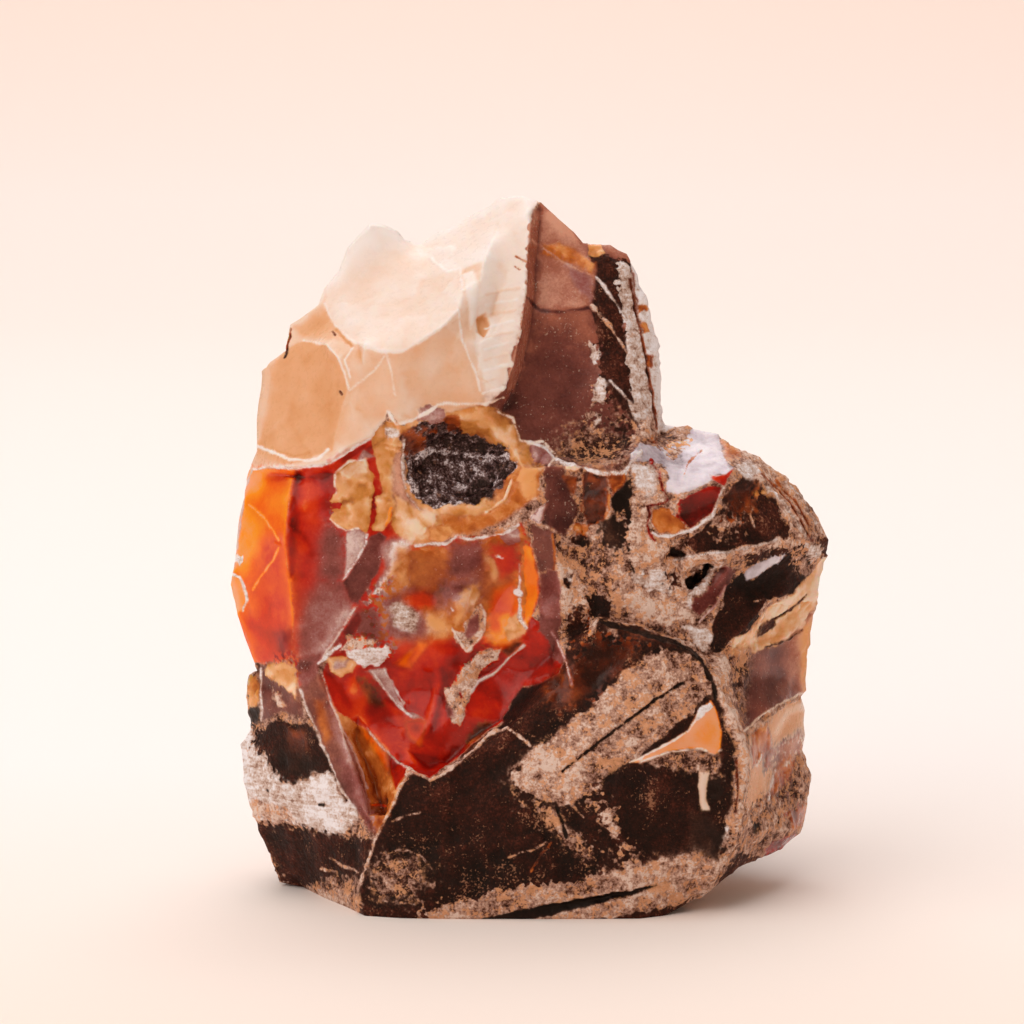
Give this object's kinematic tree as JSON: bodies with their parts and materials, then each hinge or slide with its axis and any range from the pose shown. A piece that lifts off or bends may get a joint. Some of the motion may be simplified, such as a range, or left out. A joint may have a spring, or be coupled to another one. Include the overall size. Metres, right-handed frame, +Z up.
{
  "type": "rough fire opal stone",
  "caption": "Rough fire opal stone standing on a flat broken foot, with a cream rind cap, red and orange glassy faces, dark brown panel and agate shoulder.",
  "frame": {"origin": "middle of the outer box's lowest face, on the surface the stone stands on", "axes": "+Z up from the resting face, +X to the right seen from the front, -Y towards the viewer, out of the dark brown front panel"},
  "size_m": [0.0767, 0.055, 0.0891],
  "materials": {
    "opal": "glassy on the broken opal faces, dull on the matrix"
  },
  "bodies": {
    "root": {"opal_stone": "opal"}
  },
  "joints": []
}
